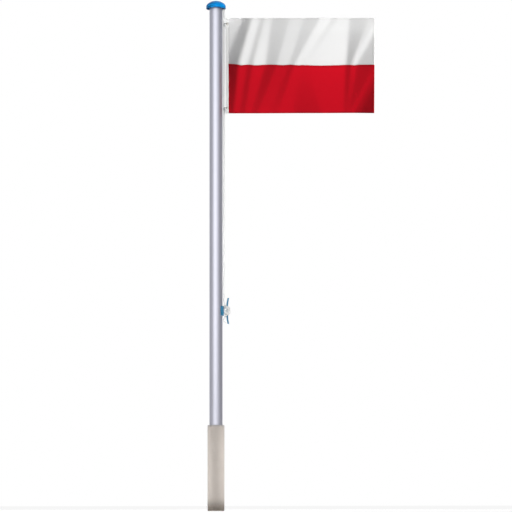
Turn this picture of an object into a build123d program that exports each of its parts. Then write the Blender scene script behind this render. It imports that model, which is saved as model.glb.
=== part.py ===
"""A ground-sleeve flagpole with a mushroom cap, a rope halyard on a cleat, and a two-colour flag.

All lengths are millimetres. The mast stands on +Z, the flag flies towards +X, and the origin is
the centre of the ground sleeve's lower face.
"""

from build123d import *
from math import atan2, cos, degrees, radians, sin
import os

# Clearances between pieces that are fitted together
fit_gap = 0.3
bore_gap = 0.2
same_place = 0.01

# Mast of three tubes that plug into each other
tube_diameter = 100.0
tube_wall = 2.5
section_length = 1286.0
spigot_length = 90.0
shoulder_height = 8.0

# Ground sleeve, its end cap and its collar
sleeve_diameter = 128.0
sleeve_wall = 4.0
sleeve_length = 631.0
end_cap_floor = 6.0
end_cap_ring = 25.0
collar_lip = 11.0
collar_depth = 40.0
collar_round = 5.0
end_cap_chamfer = 2.0
sleeve_chamfer = 1.5

# Mushroom cap, its plug and the pin that the halyard runs over
cap_diameter = 151.0
cap_rim = 14.0
cap_rise = 47.0
cap_shoulder = 32.0
cap_overlap = 15.0
cap_wall = 3.2
cap_seat_width = 6.0
plug_depth = 60.0
plug_wall = 3.0
plug_flange = 4.0
plug_flange_overhang = 2.0
pin_diameter = 8.0
pin_reach = 61.5
pin_above_brim = 9.0
pin_angle = 45.0
ear_thickness = 2.5
ear_width = 12.0
ear_below_pin = 7.0
ear_play = 0.7

# Halyard
rope_diameter = 6.0
knee_bend = 200.0
cleat_fall_x = 61.5
cleat_fall_y = 7.0
return_knee_shift = 5.0
knee_above_wraps = 46.0
end_above_wraps = 1.0
carry_end_shift = 8.5
return_end_shift = 6.0
fall_end_y = 8.0
turn_slack = 0.1

# Cleat
cleat_height = 1516.0
saddle_length = 73.0
saddle_wall = 5.0
saddle_half_angle = 42.0
pad_width = 26.0
pad_face = 55.4
foot_thickness = 4.6
foot_width = 18.0
foot_corner = 8.0
neck_length = 40.0
neck_reach = 18.5
neck_width = 14.0
neck_sink = 1.0
cleat_width = 16.0
horn_span = 198.0
horn_root = 13.5
horn_tip = 12.0
horn_flare = 10.0
bar_past_neck = 6.0
cleat_edge = 3.5
screw_spacing = 57.0
screw_shank = 4.5
screw_head = 9.0
screw_head_depth = 2.5
screw_taper = 42.0
screw_reach = 20.0
screw_point = 3.0

# Turns of rope on the cleat
wrap_length = 95.0
wrap_half_width = 21.0
wrap_reach = 106.0
wrap_round = 10.0
wrap_gap = 0.4

# Flag
flag_height = 740.0
flag_drop = 89.0
flag_fly = 1120.0
heading_width = 22.0
heading_gap = 5.0
cloth_thickness = 2.4
heading_thickness = 3.0
white_share = 0.502
cloth_stations = 33
fly_end_depth = 4.0

# Folds of the cloth: how far from the hoist each lies at the flag's top, seam and bottom, and how
# steeply the cloth past it comes forwards at those three levels
folds = [
    (0, 0, 0, 0.00, 0.40, 0.38),
    (67, 0, 0, 0.38, 0.44, 0.40),
    (160, 70, 40, -0.24, -0.24, -0.08),
    (225, 140, 79, 0.10, 0.12, 0.20),
    (264, 179, 125, -0.12, -0.20, -0.04),
    (318, 268, 175, 0.10, 0.10, 0.14),
    (468, 368, 221, -0.05, -0.10, -0.08),
    (576, 464, 314, 0.08, 0.10, 0.02),
    (700, 503, 376, -0.24, -0.24, -0.08),
    (796, 549, 499, 0.00, -0.11, 0.06),
    (839, 599, 715, -0.18, -0.17, -0.06),
    (927, 904, 885, 0.22, 0.08, 0.12),
    (1070, 951, 916, 0.07, -0.20, -0.02),
    (1101, 957, 920, -0.22, -0.22, 0.10),
    (1120, 1008, 925, 0.12, 0.12, 0.16),
]

# Hooks, grommets and knots that carry the flag
hook_from_top = 43.0
hook_from_bottom = 43.0
hook_height = 3.6
hook_wire = 3.0
hook_eye_wall = 2.3
hook_half_width = 7.5
hook_length = 18.0
hook_shank = 4.0
bow_past_grommet = 1.9
gate_length = 7.0
gate_play = 1.0
grommet_from_eye = 14.6
grommet_bore = 4.5
grommet_neck = 6.3
grommet_flange = 9.0
grommet_sheet = 1.0
grommet_drop = 1.8
knot_turn = 3.6
knot_turns = 3
knot_sides = 8

# Radii and levels worked out from the sizes above
tube_radius = tube_diameter / 2
bore_radius = tube_radius - tube_wall
spigot_radius = bore_radius - fit_gap
sleeve_radius = sleeve_diameter / 2
sleeve_bore = sleeve_radius - sleeve_wall
sleeve_top = end_cap_floor + sleeve_length
joint_levels = [end_cap_floor + section_length * step for step in range(4)]
mast_top = joint_levels[3]
brim_level = mast_top - cap_overlap
cap_radius = cap_diameter / 2
equator_level = brim_level + cap_rim
shoulder_inset = cap_radius - cap_shoulder
cap_crown = (shoulder_inset**2 + cap_rise**2 - cap_shoulder**2) / (2 * (cap_rise - cap_shoulder))
rope_radius = rope_diameter / 2
pin_level = brim_level + pin_above_brim
turn_radius = pin_diameter / 2 + rope_radius + fit_gap
flag_top = mast_top - flag_drop
flag_bottom = flag_top - flag_height
seam_level = flag_top - flag_height * white_share
cleat_face = pad_face + foot_thickness
bar_inner = cleat_face + neck_reach
bar_outer = bar_inner + horn_root

# The pin lies level and turned, so that the two falls pass the mast side by side
across = Vector(cos(radians(pin_angle)), -sin(radians(pin_angle)), 0)
along = Vector(sin(radians(pin_angle)), cos(radians(pin_angle)), 0)
pin_centre = Vector(pin_reach, 0, pin_level)
carry_top = pin_centre + across * turn_radius
return_top = pin_centre - across * turn_radius
wrap_top = cleat_height + wrap_length / 2
knee_level = wrap_top + knee_above_wraps
carry_knee = Vector(cleat_fall_x, -cleat_fall_y, knee_level)
return_knee = Vector(cleat_fall_x - return_knee_shift, cleat_fall_y, knee_level)


def carry_point(level):
    """Point of the carrying fall at a height: it runs straight from the pin to the knee."""
    share = (carry_top.Z - level) / (carry_top.Z - carry_knee.Z)
    return carry_top + (carry_knee - carry_top) * share


hook_levels = {"upper": flag_top - hook_from_top, "lower": flag_bottom + hook_from_bottom}
flag_line = carry_point(hook_levels["upper"]).Y
heading_start = carry_point(hook_levels["upper"]).X + rope_radius + heading_gap
cloth_start = heading_start + heading_width + fit_gap
eye_outer = rope_radius + fit_gap + hook_eye_wall
grommet_centre = carry_point(hook_levels["upper"]).X + eye_outer + grommet_from_eye

os.makedirs("parts", exist_ok=True)


def tube_section(bottom, top, plugged, screw_holes=()):
    """One mast tube; a plugged one has a drawn-in spigot below its shoulder."""
    with BuildPart() as section:
        with BuildSketch(Plane.XZ):
            with BuildLine():
                if plugged:
                    Polyline(
                        (spigot_radius, bottom - spigot_length),
                        (spigot_radius, bottom),
                        (tube_radius, bottom),
                        (tube_radius, top),
                        (bore_radius, top),
                        (bore_radius, bottom + shoulder_height),
                        (spigot_radius - tube_wall, bottom + tube_wall),
                        (spigot_radius - tube_wall, bottom - spigot_length),
                        close=True,
                    )
                else:
                    Polyline(
                        (bore_radius, bottom),
                        (tube_radius, bottom),
                        (tube_radius, top),
                        (bore_radius, top),
                        close=True,
                    )
            make_face()
        revolve(axis=Axis.Z)
        if screw_holes:
            with BuildSketch(Plane.YZ):
                with Locations(*[(0, level) for level in screw_holes]):
                    Circle(screw_shank / 2 + bore_gap)
            extrude(amount=tube_diameter, mode=Mode.SUBTRACT)
    return section


# Ground sleeve
with BuildPart() as ground_sleeve:
    with BuildSketch(Plane.XY.offset(end_cap_floor)):
        Circle(sleeve_radius)
        Circle(sleeve_bore, mode=Mode.SUBTRACT)
    extrude(amount=sleeve_length)
    sleeve_rims = ground_sleeve.faces().sort_by(Axis.Z)[-1].edges().sort_by(SortBy.LENGTH)
    chamfer(sleeve_rims[-1], length=sleeve_chamfer)
ground_sleeve.part.label = "ground_sleeve"
export_step(ground_sleeve.part, "parts/ground_sleeve.step")

# Sleeve end cap: a disc that closes the foot, with a ring that centres the mast
with BuildPart() as sleeve_end_cap:
    with BuildSketch(Plane.XY):
        Circle(sleeve_radius)
    extrude(amount=end_cap_floor)
    with BuildSketch(Plane.XY.offset(end_cap_floor)):
        Circle(sleeve_bore - fit_gap)
        Circle(tube_radius + fit_gap, mode=Mode.SUBTRACT)
    extrude(amount=end_cap_ring)
    chamfer(sleeve_end_cap.faces().sort_by(Axis.Z)[-1].edges(), length=end_cap_chamfer)
sleeve_end_cap.part.label = "sleeve_end_cap"
export_step(sleeve_end_cap.part, "parts/sleeve_end_cap.step")

# Sleeve collar: a lipped ring that fills the gap between sleeve and mast
with BuildPart() as sleeve_collar:
    with BuildSketch(Plane.XY.offset(sleeve_top - collar_depth)):
        Circle(sleeve_bore - fit_gap)
    extrude(amount=collar_depth)
    with BuildSketch(Plane.XY.offset(sleeve_top)):
        Circle(sleeve_radius)
    extrude(amount=collar_lip)
    fillet(sleeve_collar.faces().sort_by(Axis.Z)[-1].edges(), radius=collar_round)
    lip_rims = sleeve_collar.edges().filter_by_position(Axis.Z, sleeve_top, sleeve_top)
    chamfer(lip_rims.sort_by(SortBy.LENGTH)[-1], length=sleeve_chamfer)
    with BuildSketch(Plane.XY.offset(sleeve_top - collar_depth)):
        Circle(tube_radius + fit_gap)
    extrude(amount=collar_depth + collar_lip, mode=Mode.SUBTRACT)
sleeve_collar.part.label = "sleeve_collar"
export_step(sleeve_collar.part, "parts/sleeve_collar.step")

# Mast sections
mast_lower_section = tube_section(joint_levels[0], joint_levels[1], False)
mast_lower_section.part.label = "mast_lower_section"
export_step(mast_lower_section.part, "parts/mast_lower_section.step")

screw_levels = [cleat_height - screw_spacing / 2, cleat_height + screw_spacing / 2]

mast_middle_section = tube_section(joint_levels[1], joint_levels[2], True, screw_levels)
mast_middle_section.part.label = "mast_middle_section"
export_step(mast_middle_section.part, "parts/mast_middle_section.step")

mast_upper_section = tube_section(joint_levels[2], joint_levels[3], True)
mast_upper_section.part.label = "mast_upper_section"
export_step(mast_upper_section.part, "parts/mast_upper_section.step")

# Cap plug: a cup in the mast's bore, with a flange on the rim
with BuildPart() as cap_plug:
    with BuildSketch(Plane.XY.offset(mast_top - plug_depth)):
        Circle(spigot_radius)
    extrude(amount=plug_depth)
    with BuildSketch(Plane.XY.offset(mast_top)):
        Circle(tube_radius + plug_flange_overhang)
    extrude(amount=plug_flange)
    with BuildSketch(Plane.XY.offset(mast_top - plug_depth)):
        Circle(spigot_radius - plug_wall)
    extrude(amount=plug_depth, mode=Mode.SUBTRACT)
cap_plug.part.label = "cap_plug"
export_step(cap_plug.part, "parts/cap_plug.step")


def dome_outline(inset):
    """Half outline of the dome, from the axis outwards: upright rim, round shoulder and flat crown."""
    crown_z = equator_level + cap_rise - cap_crown
    turn = degrees(atan2(equator_level - crown_z, shoulder_inset))
    with BuildSketch(Plane.XZ) as outline:
        with BuildLine():
            Line((0, brim_level), (cap_radius - inset, brim_level))
            Line((cap_radius - inset, brim_level), (cap_radius - inset, equator_level))
            CenterArc((shoulder_inset, equator_level), cap_shoulder - inset, 0, turn)
            CenterArc((0, crown_z), cap_crown - inset, turn, 90 - turn)
            Line((0, equator_level + cap_rise - inset), (0, brim_level))
        make_face()
    return outline.sketch


# Ribs inside the cap: a seat on the plug's flange and two ears that hold the pin
seat_level = mast_top + plug_flange
seat_outer = tube_radius + plug_flange_overhang
ear_plane = Plane(origin=(pin_reach, 0, pin_level - ear_below_pin), x_dir=across, z_dir=(0, 0, 1))
ear_offset = rope_radius + ear_play + ear_thickness / 2
pin_plane = Plane(origin=pin_centre, x_dir=across, z_dir=along)
with BuildPart() as cap_ribs:
    with BuildSketch(Plane.XY.offset(seat_level)):
        Circle(seat_outer)
        Circle(seat_outer - cap_seat_width, mode=Mode.SUBTRACT)
    extrude(amount=cap_rise)
    with BuildSketch(ear_plane):
        with Locations((0, ear_offset), (0, -ear_offset)):
            Rectangle(ear_width, ear_thickness)
    extrude(amount=cap_rise)
    with BuildSketch(pin_plane):
        Circle(pin_diameter / 2 + bore_gap)
    extrude(amount=ear_offset + ear_thickness / 2, both=True, mode=Mode.SUBTRACT)
    with BuildSketch(Plane.XY.offset(brim_level)):
        Circle(seat_outer + fit_gap)
    extrude(amount=seat_level - brim_level, mode=Mode.SUBTRACT)
    revolve(dome_outline(cap_wall / 2), axis=Axis.Z, mode=Mode.INTERSECT)

# Cap dome: a moulded shell with its ribs
with BuildPart() as cap_dome:
    revolve(dome_outline(0), axis=Axis.Z)
    revolve(dome_outline(cap_wall), axis=Axis.Z, mode=Mode.SUBTRACT)
    add(cap_ribs.part)
cap_dome.part.label = "cap_dome"
export_step(cap_dome.part, "parts/cap_dome.step")

# Halyard pin
with BuildPart() as halyard_pin:
    with BuildSketch(pin_plane):
        Circle(pin_diameter / 2)
    extrude(amount=ear_offset + ear_thickness / 2, both=True)
halyard_pin.part.label = "halyard_pin"
export_step(halyard_pin.part, "parts/halyard_pin.step")


def rope_tube(points, radii, diameter):
    """Round rope along straight runs joined by tangent arcs."""
    with BuildPart() as rope:
        with BuildLine() as route:
            FilletPolyline(*points, radius=radii)
        start = route.line @ 0
        with BuildSketch(Plane(origin=start, z_dir=route.line % 0)):
            Circle(diameter / 2)
        sweep(path=route.line)
    return rope


# Halyard: one rope from the cleat, over the pin and back
top_rise = Vector(0, 0, turn_radius)
halyard_end = wrap_top + end_above_wraps
turn_bend = turn_radius - turn_slack
halyard_points = [
    Vector(cleat_fall_x + carry_end_shift, -fall_end_y, halyard_end),
    carry_knee,
    carry_top + top_rise,
    return_top + top_rise,
    return_knee,
    Vector(cleat_fall_x + return_end_shift, fall_end_y, halyard_end),
]
halyard = rope_tube(halyard_points, [knee_bend, turn_bend, turn_bend, knee_bend], rope_diameter)
halyard.part.label = "halyard"
export_step(halyard.part, "parts/halyard.step")

# Cleat saddle: a curved pad that fits the tube
with BuildPart() as cleat_saddle:
    with BuildSketch(Plane.XY.offset(cleat_height - saddle_length / 2)):
        Circle(tube_radius + fit_gap + saddle_wall)
        reach = 2 * tube_diameter
        with BuildLine():
            Polyline(
                (0, 0),
                (reach * cos(radians(saddle_half_angle)), -reach * sin(radians(saddle_half_angle))),
                (reach * cos(radians(saddle_half_angle)), reach * sin(radians(saddle_half_angle))),
                close=True,
            )
        make_face(mode=Mode.INTERSECT)
        with Locations((tube_radius, 0)):
            Rectangle(pad_face - tube_radius, pad_width, align=(Align.MIN, Align.CENTER))
        Circle(tube_radius + fit_gap, mode=Mode.SUBTRACT)
    extrude(amount=saddle_length)
    with BuildSketch(Plane.YZ):
        with Locations(*[(0, level) for level in screw_levels]):
            Circle(screw_shank / 2 + bore_gap)
    extrude(amount=tube_diameter, mode=Mode.SUBTRACT)
cleat_saddle.part.label = "cleat_saddle"
export_step(cleat_saddle.part, "parts/cleat_saddle.step")


def horn_outline(clearance):
    """Side outline of the horn bar: a straight middle and two horns that flare outwards."""
    half = horn_span / 2
    middle = neck_length / 2 + bar_past_neck
    with BuildSketch(Plane.XZ) as outline:
        with BuildLine():
            Line((bar_outer, cleat_height - middle), (bar_outer, cleat_height + middle))
            for side in (1, -1):
                level = cleat_height + side * middle
                tip = cleat_height + side * half
                TangentArc((bar_outer, level), (bar_inner + horn_flare + horn_tip, tip), tangent=(0, side))
                TangentArc((bar_inner, level), (bar_inner + horn_flare, tip), tangent=(0, side))
                Line((bar_inner + horn_flare, tip), (bar_inner + horn_flare + horn_tip, tip))
            Line((bar_inner, cleat_height - middle), (bar_inner, cleat_height + middle))
        make_face()
        if clearance:
            offset(amount=clearance, kind=Kind.INTERSECTION)
    return outline.sketch


# Cleat: a foot on the saddle, a neck, and a bar with two horns
with BuildPart() as cleat_horns:
    with BuildSketch(Plane.YZ.offset(pad_face)):
        with Locations((0, cleat_height)):
            RectangleRounded(foot_width, saddle_length, foot_corner)
    extrude(amount=foot_thickness)
    with BuildSketch(Plane.YZ.offset(cleat_face)):
        with Locations((0, cleat_height)):
            SlotOverall(neck_length, neck_width, rotation=90)
    extrude(amount=neck_reach + neck_sink)
    extrude(horn_outline(0), amount=cleat_width / 2, both=True)
    horn_edges = cleat_horns.edges().filter_by(
        lambda edge: edge.center().X > bar_inner + neck_sink
        and abs(abs(edge.center().Y) - cleat_width / 2) < same_place
    )
    fillet(horn_edges, radius=cleat_edge)
    with BuildSketch(Plane.YZ.offset(cleat_face)):
        with Locations(*[(0, level) for level in screw_levels]):
            Circle(screw_head / 2 + bore_gap)
    extrude(amount=-screw_head_depth, taper=screw_taper, mode=Mode.SUBTRACT)
    with BuildSketch(Plane.YZ):
        with Locations(*[(0, level) for level in screw_levels]):
            Circle(screw_shank / 2 + bore_gap)
    extrude(amount=cleat_face, mode=Mode.SUBTRACT)
cleat_horns.part.label = "cleat_horns"
export_step(cleat_horns.part, "parts/cleat_horns.step")

# Cleat screws, countersunk in the foot and driven through the tube's wall
for name, level in zip(("lower", "upper"), screw_levels):
    with BuildPart() as screw:
        with BuildSketch(Plane.XZ):
            with BuildLine():
                Polyline(
                    (cleat_face, level),
                    (cleat_face, level + screw_head / 2),
                    (cleat_face - screw_head_depth, level + screw_shank / 2),
                    (cleat_face - screw_reach, level + screw_shank / 2),
                    (cleat_face - screw_reach - screw_point, level),
                    close=True,
                )
            make_face()
        revolve(axis=Axis((0, 0, level), (1, 0, 0)))
    screw.part.label = "cleat_screw_" + name
    export_step(screw.part, "parts/cleat_screw_" + name + ".step")

# Turns of rope round the cleat, as the outer shape of the hank
wrap_depth = wrap_reach - cleat_face - wrap_gap
with BuildPart() as halyard_wraps:
    with BuildSketch(Plane.XY.offset(cleat_height - wrap_length / 2)):
        with Locations((cleat_face + wrap_gap, 0)):
            Rectangle(wrap_depth, 2 * wrap_half_width, align=(Align.MIN, Align.CENTER))
    extrude(amount=wrap_length)
    fillet(halyard_wraps.edges(), radius=wrap_round)
    extrude(horn_outline(wrap_gap), amount=cleat_width / 2 + wrap_gap, both=True, mode=Mode.SUBTRACT)
    with BuildSketch(Plane.YZ.offset(cleat_face)):
        with Locations((0, cleat_height)):
            SlotOverall(neck_length + 2 * wrap_gap, neck_width + 2 * wrap_gap, rotation=90)
    extrude(amount=neck_reach + neck_sink, mode=Mode.SUBTRACT)
halyard_wraps.part.label = "halyard_wraps"
export_step(halyard_wraps.part, "parts/halyard_wraps.step")

# Tail of the halyard, tucked beside the lower horn
wrap_bottom = cleat_height - wrap_length / 2
tail_points = [
    Vector(74, -14, wrap_bottom - 2.4),
    Vector(62, -13, wrap_bottom - 11),
    Vector(57, -12, wrap_bottom - 24),
    Vector(65, -12, wrap_bottom - 38),
    Vector(83, -12, wrap_bottom - 46),
]
tail_bends = [12, 9, 12]
halyard_tail = rope_tube(tail_points, tail_bends, rope_diameter)
halyard_tail.part.label = "halyard_tail"
export_step(halyard_tail.part, "parts/halyard_tail.step")


def fold_at(fold, level):
    """Place and slope of a fold at a height: both run straight from the top to the seam and the bottom."""
    upper = min(max((flag_top - level) / (flag_top - seam_level), 0), 1)
    lower = min(max((seam_level - level) / (seam_level - flag_bottom), 0), 1)
    top_place, seam_place, bottom_place, top_slope, seam_slope, bottom_slope = fold
    place = top_place + (seam_place - top_place) * upper + (bottom_place - seam_place) * lower
    slope = top_slope + (seam_slope - top_slope) * upper + (bottom_slope - seam_slope) * lower
    return place, slope


def wave(distance, level):
    """How far the cloth stands in front of its own plane, at a distance from the hoist."""
    depth = 0
    before = 0
    for fold in folds:
        place, slope = fold_at(fold, level)
        depth += (slope - before) * max(0, distance - place)
        before = slope
    return depth


def cloth_section(level):
    """Cross-section of the folded cloth at one height, brought back to its plane at the fly end."""
    steps = [flag_fly * i / (cloth_stations - 1) for i in range(cloth_stations)]
    drift = (wave(flag_fly, level) - fly_end_depth) / flag_fly
    middle = [(cloth_start + step, flag_line - wave(step, level) + drift * step) for step in steps]
    front = [(x, y - cloth_thickness / 2) for x, y in middle]
    back = [(x, y + cloth_thickness / 2) for x, y in middle]
    outline = Wire.make_polygon([Vector(x, y, level) for x, y in front + back[::-1]])
    return Face(outline)


# Flag panels, one above the other along the seam
for name, top, bottom in (
    ("flag_white_panel", flag_top, seam_level + fit_gap),
    ("flag_red_panel", seam_level, flag_bottom),
):
    with BuildPart() as panel:
        loft([cloth_section(bottom), cloth_section((top + bottom) / 2), cloth_section(top)], ruled=True)
    panel.part.label = name
    export_step(panel.part, "parts/" + name + ".step")

grommet_levels = {name: level - grommet_drop for name, level in hook_levels.items()}

# Heading band along the hoist, with the grommet holes
with BuildPart() as flag_heading:
    with BuildSketch(Plane.XZ.offset(-flag_line)):
        with Locations((heading_start, flag_bottom)):
            Rectangle(heading_width, flag_height, align=(Align.MIN, Align.MIN))
        with Locations(*[(grommet_centre, level) for level in grommet_levels.values()]):
            Circle(grommet_neck + fit_gap, mode=Mode.SUBTRACT)
    extrude(amount=heading_thickness / 2, both=True)
flag_heading.part.label = "flag_heading"
export_step(flag_heading.part, "parts/flag_heading.step")

flange_start = heading_thickness / 2 + fit_gap

for name, level in hook_levels.items():
    rope = carry_point(level)
    axis_plane = Plane.XZ.offset(-flag_line)

    # Grommet: a neck through the heading and a flange on each face
    with BuildPart() as grommet:
        with BuildSketch(axis_plane):
            with Locations((grommet_centre, grommet_levels[name])):
                Circle(grommet_flange)
        extrude(amount=flange_start + grommet_sheet, both=True)
        with BuildSketch(axis_plane):
            with Locations((grommet_centre, grommet_levels[name])):
                Circle(grommet_flange + grommet_sheet)
                Circle(grommet_neck, mode=Mode.SUBTRACT)
        extrude(amount=flange_start, both=True, mode=Mode.SUBTRACT)
        with BuildSketch(axis_plane):
            with Locations((grommet_centre, grommet_levels[name])):
                Circle(grommet_bore)
        extrude(amount=flange_start + grommet_sheet, both=True, mode=Mode.SUBTRACT)
    grommet.part.label = "grommet_" + name
    export_step(grommet.part, "parts/grommet_" + name + ".step")

    # Snap hook: an eye round the rope and a flat bow through the grommet, open where the gate sits
    bow_end = grommet_centre + bow_past_grommet
    bow_centre = bow_end - hook_length / 2
    gate_y = flag_line - hook_half_width + hook_wire / 2
    hook_inside = 2 * (hook_half_width - hook_wire)
    with BuildPart() as hook:
        with BuildSketch(Plane.XY.offset(level - hook_height / 2)):
            with Locations((bow_centre, flag_line)):
                SlotOverall(hook_length, 2 * hook_half_width)
            with Locations((rope.X, rope.Y)):
                Circle(eye_outer)
            with Locations((rope.X, flag_line)):
                Rectangle(bow_centre - rope.X, hook_shank, align=(Align.MIN, Align.CENTER))
            with Locations((bow_centre, flag_line)):
                SlotOverall(hook_length - 2 * hook_wire, hook_inside, mode=Mode.SUBTRACT)
            with Locations((rope.X, rope.Y)):
                Circle(rope_radius + fit_gap, mode=Mode.SUBTRACT)
            with Locations((bow_centre, gate_y)):
                Rectangle(gate_length, hook_wire + gate_play, mode=Mode.SUBTRACT)
        extrude(amount=hook_height)
    hook.part.label = "snap_hook_" + name
    export_step(hook.part, "parts/snap_hook_" + name + ".step")

    # Gate of the snap hook
    with BuildPart() as gate:
        with BuildSketch(Plane.XY.offset(level - hook_height / 2)):
            with Locations((bow_centre, gate_y)):
                Rectangle(gate_length - 2 * fit_gap, hook_wire)
        extrude(amount=hook_height)
    gate.part.label = "hook_gate_" + name
    export_step(gate.part, "parts/hook_gate_" + name + ".step")

    # Knot: turns of cord round the rope below the eye
    knot_top = level - hook_height / 2 - fit_gap
    knot_height = knot_turn * knot_turns
    knot_axis = Axis((rope.X, rope.Y, 0), (0, 0, 1))
    with BuildPart() as knot:
        with BuildSketch(Plane(origin=(rope.X, rope.Y, knot_top), x_dir=(1, 0, 0), z_dir=(0, -1, 0))):
            with Locations((rope_radius + fit_gap, 0)):
                Rectangle(knot_turn / 2, knot_height, align=(Align.MIN, Align.MAX))
            for turn in range(knot_turns):
                with Locations((rope_radius + fit_gap + knot_turn / 2, -knot_turn * (turn + 0.5))):
                    RegularPolygon(
                        knot_turn / 2, knot_sides, major_radius=False, rotation=180 / knot_sides
                    )
        revolve(axis=knot_axis)
    knot.part.label = "hook_knot_" + name
    export_step(knot.part, "parts/hook_knot_" + name + ".step")
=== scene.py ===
"""Looks of the flagpole: folded cloth, braided rope, hooks, satin tube, blue cap and pipe sleeve.

Lengths are metres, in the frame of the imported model: the mast stands on +Z and the flag flies to +X.
"""

from math import cos, pi, radians, sin

import bmesh
import bpy
import numpy as np
from mathutils import Matrix, Vector


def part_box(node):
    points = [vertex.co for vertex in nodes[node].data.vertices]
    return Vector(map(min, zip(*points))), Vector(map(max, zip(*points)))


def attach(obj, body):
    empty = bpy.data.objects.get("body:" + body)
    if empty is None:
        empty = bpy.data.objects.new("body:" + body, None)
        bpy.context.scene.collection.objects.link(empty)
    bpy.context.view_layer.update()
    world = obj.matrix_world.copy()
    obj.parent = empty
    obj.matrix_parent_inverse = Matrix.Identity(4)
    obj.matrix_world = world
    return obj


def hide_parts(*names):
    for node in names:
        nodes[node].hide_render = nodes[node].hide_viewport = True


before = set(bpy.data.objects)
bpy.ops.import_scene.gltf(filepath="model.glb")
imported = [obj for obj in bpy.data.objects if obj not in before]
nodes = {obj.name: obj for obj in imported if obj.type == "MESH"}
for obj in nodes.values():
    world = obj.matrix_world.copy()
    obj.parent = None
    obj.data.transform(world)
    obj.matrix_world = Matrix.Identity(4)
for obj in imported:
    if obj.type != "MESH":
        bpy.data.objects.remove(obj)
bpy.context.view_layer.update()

# Sizes that the construction shares with the looks
rope_diameter = 0.006
rope_radius = rope_diameter / 2
rope_sides = 12
pin_centre = np.array([0.0615, 0.0, 3.858])
pin_turn = 0.0073
pin_angle = radians(45)
pin_across = np.array([cos(pin_angle), -sin(pin_angle), 0.0])
carry_top = pin_centre + pin_turn * pin_across
carry_knee = np.array([0.0615, -0.007, 1.6095])
return_knee = np.array([0.0565, 0.007, 1.6095])
cleat_level = 1.516
white_low, white_high = (np.array(corner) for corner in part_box("flag_white_panel"))
red_low, red_high = (np.array(corner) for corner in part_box("flag_red_panel"))
heading_low, heading_high = (np.array(corner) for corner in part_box("flag_heading"))
flag_top = white_high[2]
flag_seam = red_high[2]
flag_bottom = red_low[2]
heading_gap = 0.0003
cloth_start = heading_high[0] + heading_gap
cloth_end = white_high[0]
flag_fly = cloth_end - cloth_start
flag_line = (heading_low[1] + heading_high[1]) / 2
cloth_thread_pitch = 0.0011
tape_rib_pitch = 0.0016


# Shader maths


class Value:
    """A number, vector or colour on its way through a material; sums on it add Math nodes."""

    def __init__(self, finish, socket):
        self.finish = finish
        self.socket = socket

    def maths(self, operation, *values):
        inputs = dict(enumerate(values))
        return self.finish.node("Math", {"operation": operation}, inputs)

    def __add__(self, other):
        return self.maths("ADD", self, other)

    def __radd__(self, other):
        return self.maths("ADD", other, self)

    def __sub__(self, other):
        return self.maths("SUBTRACT", self, other)

    def __rsub__(self, other):
        return self.maths("SUBTRACT", other, self)

    def __mul__(self, other):
        return self.maths("MULTIPLY", self, other)

    def __rmul__(self, other):
        return self.maths("MULTIPLY", other, self)

    def sine(self):
        return self.maths("SINE", self)

    def larger(self, other):
        return self.maths("MAXIMUM", self, other)

    def rise(self, start, end):
        """0 below start, 1 above end and a smooth step between them."""
        settings = {"interpolation_type": "SMOOTHSTEP"}
        return self.finish.node("MapRange", settings, {0: self, 1: start, 2: end, 3: 0.0, 4: 1.0})


class Finish:
    """A material in the making. Its one method for nodes takes type, settings and inputs."""

    def __init__(self, name, **constants):
        self.material = bpy.data.materials.new(name)
        self.material.use_nodes = True
        self.tree = self.material.node_tree
        self.shader = self.tree.nodes["Principled BSDF"]
        for socket, value in constants.items():
            self.shader.inputs[socket.replace("_", " ")].default_value = value

    def node(self, kind, settings=None, inputs=None, output=0):
        made = self.tree.nodes.new("ShaderNode" + kind)
        for name, value in (settings or {}).items():
            setattr(made, name, value)
        for name, value in (inputs or {}).items():
            if isinstance(value, Value):
                self.tree.links.new(value.socket, made.inputs[name])
            else:
                made.inputs[name].default_value = value
        return Value(self, made.outputs[output])

    def place(self):
        """Object coordinates, which are the model's own frame."""
        return self.node("TexCoord", output="Object")

    def cloth_place(self):
        """The piece's own UV map: metres on a cloth, a share of a turn and metres along on a tube."""
        return self.node("UVMap", {"uv_map": "surface"})

    def parts(self, vector):
        return [self.node("SeparateXYZ", None, {0: vector}, output) for output in range(3)]

    def joined(self, x, y):
        return self.node("CombineXYZ", None, {0: x, 1: y})

    def noise(self, vector, scale, detail=3.0, roughness=0.5):
        inputs = {"Vector": vector, "Scale": scale, "Detail": detail, "Roughness": roughness}
        return self.node("TexNoise", None, inputs)

    def stretched(self, vector, scale):
        return self.node("Mapping", None, {"Vector": vector, "Scale": scale})

    def blend(self, share, first, second):
        """Colour mix: first where share is 0, second where it is 1."""
        first, second = ((*c, 1.0) if isinstance(c, tuple) else c for c in (first, second))
        return self.node("Mix", {"data_type": "RGBA"}, {0: share, 6: first, 7: second}, 2)

    def feed(self, **values):
        for socket, value in values.items():
            self.tree.links.new(value.socket, self.shader.inputs[socket.replace("_", " ")])
        return self

    def bump(self, height, strength, depth):
        """Height in units of depth, in metres, as a bump on the shader's normal."""
        normal = self.node("Bump", None, {"Strength": strength, "Distance": depth, "Height": height})
        return self.feed(Normal=normal)


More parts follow.
